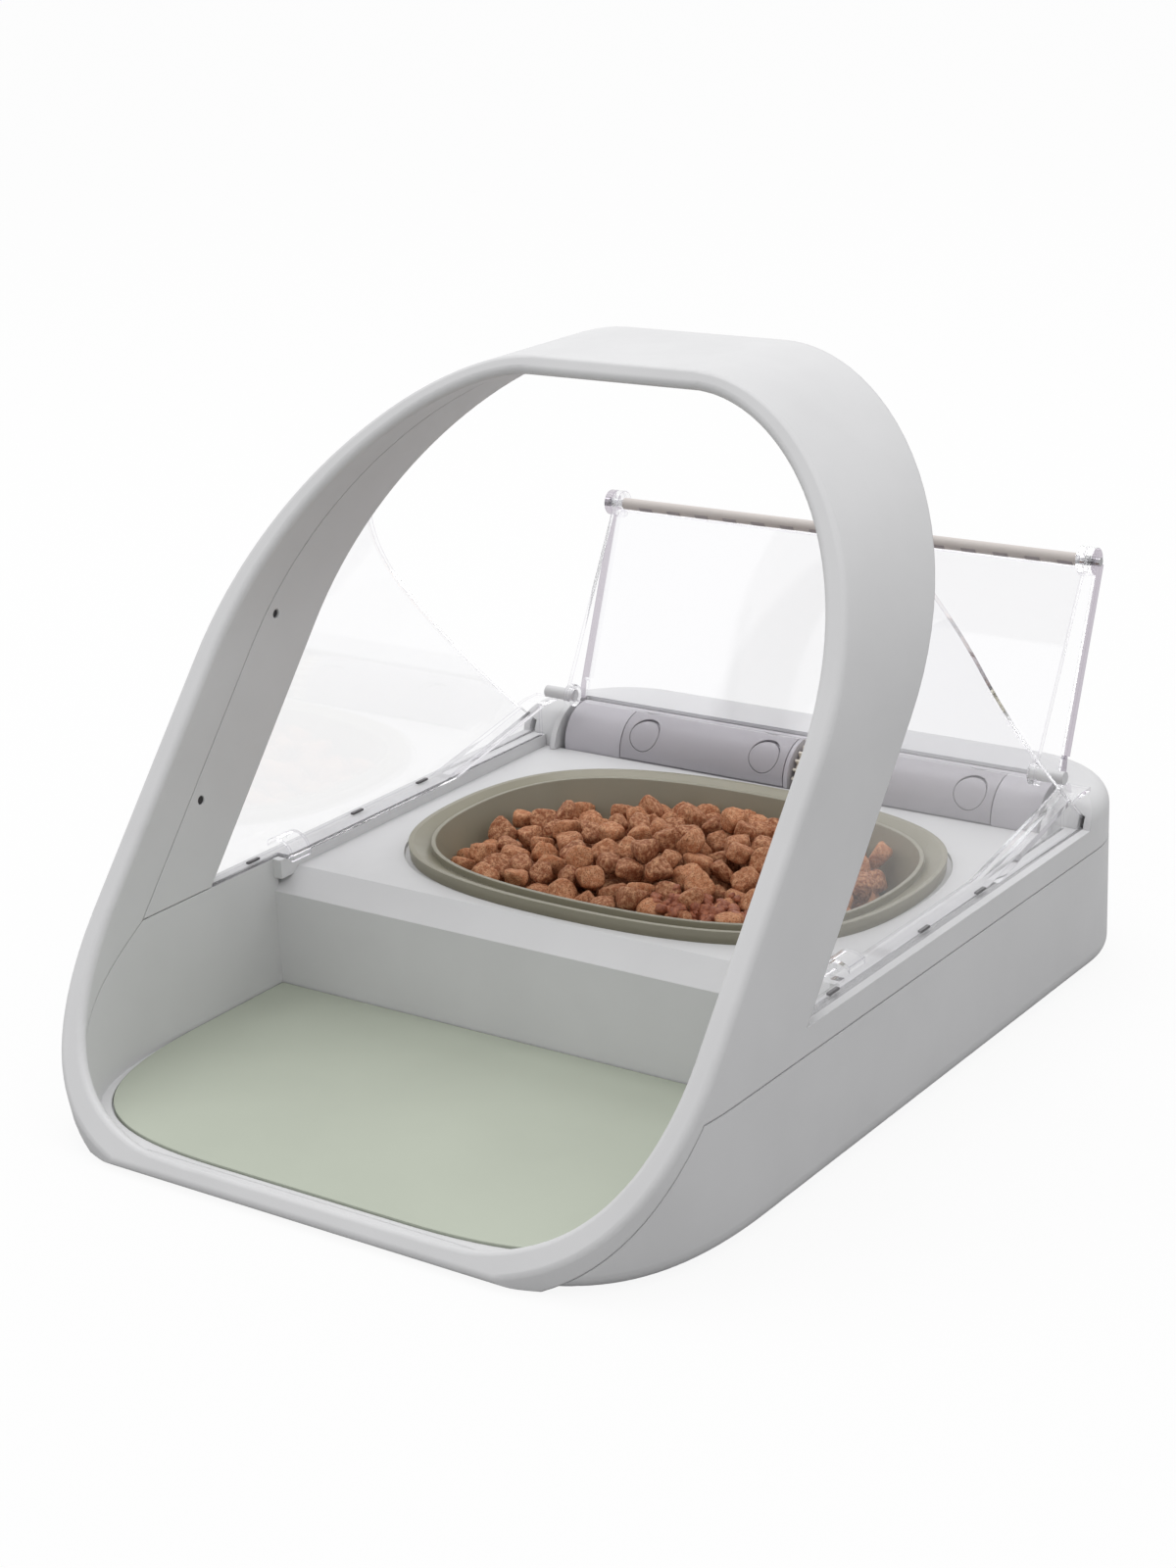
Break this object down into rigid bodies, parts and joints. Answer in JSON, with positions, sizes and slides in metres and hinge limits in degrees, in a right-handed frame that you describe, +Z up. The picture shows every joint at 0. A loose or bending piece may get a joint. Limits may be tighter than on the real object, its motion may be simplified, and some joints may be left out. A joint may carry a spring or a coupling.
{
  "type": "microchip pet feeder",
  "caption": "Tunnel-shaped pet feeder: arched entrance, standing tray with mat, lift-out oval bowl under a folding clear lid that a small motor opens, clear side windows.",
  "frame": {"origin": "centre of the footprint, on the surface that the feet stand on", "axes": "+X to the right of someone who faces the entrance, +Y from the entrance to the hinge, +Z up"},
  "size_m": [0.23, 0.3168, 0.2147],
  "materials": {
    "casing_plastic": "fine satin moulded plastic, light warm grey",
    "tray_plastic": "fine satin moulded plastic, light grey",
    "barrel_plastic": "satin moulded plastic, light grey with a cool tint",
    "clear_plastic": "clear moulded plastic, glossy",
    "mat_silicone": "soft matt silicone, pale sage",
    "bowl_plastic": "satin moulded plastic, grey olive",
    "gear_plastic": "natural nylon, cream",
    "seal_rubber": "soft seal, grey pink",
    "foot_rubber": "matt rubber",
    "steel": "plain bright steel",
    "gearbox_plastic": "dark moulded plastic",
    "board": "green solder resist",
    "coil_copper": "enamelled copper winding",
    "sensor_dark": "dark tinted resin",
    "cell_wrap": "plain printed-free wrap",
    "light_lens": "milky lens"
  },
  "bodies": {
    "base": {"top_cover": "casing_plastic", "lower_shell": "casing_plastic", "battery_cover_left": "casing_plastic", "battery_cover_right": "casing_plastic", "inner_tray": "tray_plastic", "arch_lining": "tray_plastic", "barrel_left": "barrel_plastic", "barrel_right": "barrel_plastic", "barrel_cover_left": "barrel_plastic", "barrel_cover_right": "barrel_plastic", "screw_plugs": "barrel_plastic", "window_left": "clear_plastic", "window_right": "clear_plastic", "rubber_feet": "foot_rubber", "hinge_rod": "steel", "casing_screws": "steel", "battery_contacts": "steel", "motor": "steel", "gearbox": "gearbox_plastic", "button_switches": "gearbox_plastic", "control_board": "board", "reading_coil": "coil_copper", "sensors_low": "sensor_dark", "sensors_high": "sensor_dark", "battery_cells": "cell_wrap", "status_light": "light_lens"},
    "rear_panel": {"lid_rear_panel": "clear_plastic", "lid_gear": "gear_plastic", "fold_seal": "seal_rubber", "fold_pins": "steel"},
    "front_panel": {"lid_front_panel": "clear_plastic", "guide_pins": "gear_plastic"},
    "drive": {"drive_pinion": "gear_plastic"},
    "bowl": {"food_bowl": "bowl_plastic"},
    "mat": {"standing_mat": "mat_silicone"},
    "pairing_button": {"pairing_button": "casing_plastic"},
    "lid_button": {"lid_button": "casing_plastic"}
  },
  "joints": [
    {"name": "lid_hinge", "type": "hinge", "parent": "base", "child": "rear_panel", "pos_m": [0, 0.1263, 0.0483], "axis": [-1, 0, 0], "range_deg": [-82.5, 0]},
    {"name": "lid_fold", "type": "hinge", "parent": "rear_panel", "child": "front_panel", "pos_m": [0, 0.1523, 0.1308], "axis": [-1, 0, 0], "range_deg": [0, 119.7]},
    {"name": "drive_spin", "type": "hinge", "parent": "base", "child": "drive", "pos_m": [0, 0.14474, 0.03935], "axis": [-1, 0, 0], "range_deg": [0, 95.6]},
    {"name": "bowl_lift", "type": "slide", "parent": "base", "child": "bowl", "axis": [0, 0, 1], "range_m": [0, 0.06]},
    {"name": "mat_lift", "type": "slide", "parent": "base", "child": "mat", "axis": [0, 0, 1], "range_m": [0, 0.03]},
    {"name": "pairing_press", "type": "slide", "parent": "base", "child": "pairing_button", "axis": [0, -1, 0], "range_m": [0, 0.0015], "stiffness_N_per_m": 400},
    {"name": "lid_press", "type": "slide", "parent": "base", "child": "lid_button", "axis": [0, -1, 0], "range_m": [0, 0.0015], "stiffness_N_per_m": 400}
  ],
  "couplings": [
    {"joint": "lid_fold", "follows": "lid_hinge", "ratio": -1.45},
    {"joint": "drive_spin", "follows": "lid_hinge", "ratio": -1.1579}
  ]
}
